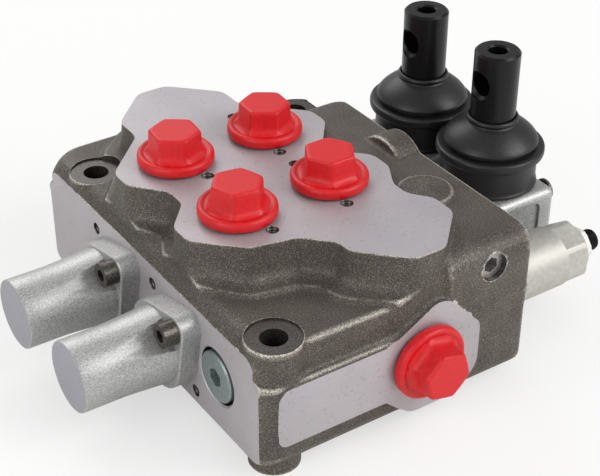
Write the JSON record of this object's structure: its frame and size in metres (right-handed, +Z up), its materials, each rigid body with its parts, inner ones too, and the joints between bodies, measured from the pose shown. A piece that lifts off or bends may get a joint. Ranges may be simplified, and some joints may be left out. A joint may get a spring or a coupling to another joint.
{
  "type": "hydraulic control valve",
  "caption": "Cast iron directional control valve with sliding spools, spring caps, booted levers, a relief valve and red plastic port plugs.",
  "frame": {"origin": "centre of the front far mounting hole in the plane of the feet", "axes": "+X along the spools towards the levers, +Y away from the inlet port, +Z up out of the mounting hole"},
  "size_m": [0.1948, 0.1749, 0.093],
  "materials": {
    "cast_iron": "as cast, faces milled",
    "ground_steel": "ground",
    "spring_steel": "oiled wire",
    "die_cast_aluminium": "die cast, fine grain",
    "red_plastic": "moulded, half gloss",
    "oxide_steel": "black oxide",
    "seal_rubber": "smooth",
    "gasket_sheet": "matte",
    "turned_steel": "turned",
    "black_rubber": "soft sheen",
    "blackened_steel": "blackened",
    "zinc_plated_steel": "zinc plated",
    "white_plastic": "moulded"
  },
  "bodies": {
    "housing": {"valve_body": "cast_iron", "pivot_pin_1": "ground_steel", "pivot_pin_2": "ground_steel", "centring_spring_1": "spring_steel", "centring_spring_2": "spring_steel", "check_spring": "spring_steel", "relief_spring": "spring_steel", "spring_cap_1": "die_cast_aluminium", "spring_cap_2": "die_cast_aluminium", "lever_box_1": "die_cast_aluminium", "lever_box_2": "die_cast_aluminium", "port_plug_a1": "red_plastic", "port_plug_b1": "red_plastic", "port_plug_a2": "red_plastic", "port_plug_b2": "red_plastic", "inlet_port_plug": "red_plastic", "outlet_port_plug": "red_plastic", "spring_cap_screws": "oxide_steel", "lever_box_screws": "oxide_steel", "grub_plug": "oxide_steel", "cap_seal_1": "seal_rubber", "cap_seal_2": "seal_rubber", "front_spool_seal_1": "seal_rubber", "front_spool_seal_2": "seal_rubber", "rear_spool_seal_1": "seal_rubber", "rear_spool_seal_2": "seal_rubber", "hex_plug_seal": "seal_rubber", "relief_seal": "seal_rubber", "lever_box_gasket_1": "gasket_sheet", "lever_box_gasket_2": "gasket_sheet", "outer_spring_seat_1": "turned_steel", "outer_spring_seat_2": "turned_steel", "boot_1": "black_rubber", "boot_2": "black_rubber", "hex_socket_plug": "zinc_plated_steel", "relief_cartridge": "zinc_plated_steel", "relief_lock_ring": "white_plastic"},
    "spool_1": {"spool_1": "ground_steel", "inner_spring_seat_1": "turned_steel", "seat_screw_1": "oxide_steel"},
    "spool_2": {"spool_2": "ground_steel", "inner_spring_seat_2": "turned_steel", "seat_screw_2": "oxide_steel"},
    "lever_1": {"lever_1": "blackened_steel"},
    "lever_2": {"lever_2": "blackened_steel"},
    "check_valve": {"check_poppet": "ground_steel"},
    "relief_valve": {"relief_poppet": "ground_steel"},
    "relief_screw": {"relief_adjuster": "oxide_steel", "relief_spring_pad": "turned_steel"}
  },
  "joints": [
    {"name": "spool_1_slide", "type": "slide", "parent": "housing", "child": "spool_1", "axis": [1, 0, 0], "range_m": [-0.0057, 0.0057], "stiffness_N_per_m": 6000, "deforming": ["centring_spring_1"]},
    {"name": "lever_1_tilt", "type": "hinge", "parent": "housing", "child": "lever_1", "pos_m": [0.1221, -0.0715, 0.046], "axis": [0, 1, 0], "range_deg": [-15, 15], "deforming": ["boot_1"]},
    {"name": "spool_2_slide", "type": "slide", "parent": "housing", "child": "spool_2", "axis": [1, 0, 0], "range_m": [-0.0057, 0.0057], "stiffness_N_per_m": 6000, "deforming": ["centring_spring_2"]},
    {"name": "lever_2_tilt", "type": "hinge", "parent": "housing", "child": "lever_2", "pos_m": [0.1221, -0.0315, 0.046], "axis": [0, 1, 0], "range_deg": [-15, 15], "deforming": ["boot_2"]},
    {"name": "check_valve_lift", "type": "slide", "parent": "housing", "child": "check_valve", "axis": [-1, 0, 0], "range_m": [0, 0.003], "stiffness_N_per_m": 400, "springref_m": -0.003, "deforming": ["check_spring"]},
    {"name": "relief_valve_lift", "type": "slide", "parent": "housing", "child": "relief_valve", "axis": [1, 0, 0], "range_m": [0, 0.0012], "stiffness_N_per_m": 8000, "springref_m": -0.002, "deforming": ["relief_spring"]},
    {"name": "relief_screw_travel", "type": "slide", "parent": "housing", "child": "relief_screw", "axis": [1, 0, 0], "range_m": [-0.002, 0.002], "deforming": ["relief_spring"]}
  ],
  "couplings": [
    {"joint": "lever_1_tilt", "follows": "spool_1_slide", "rad_per_m": -45.9},
    {"joint": "lever_2_tilt", "follows": "spool_2_slide", "rad_per_m": -45.9}
  ]
}
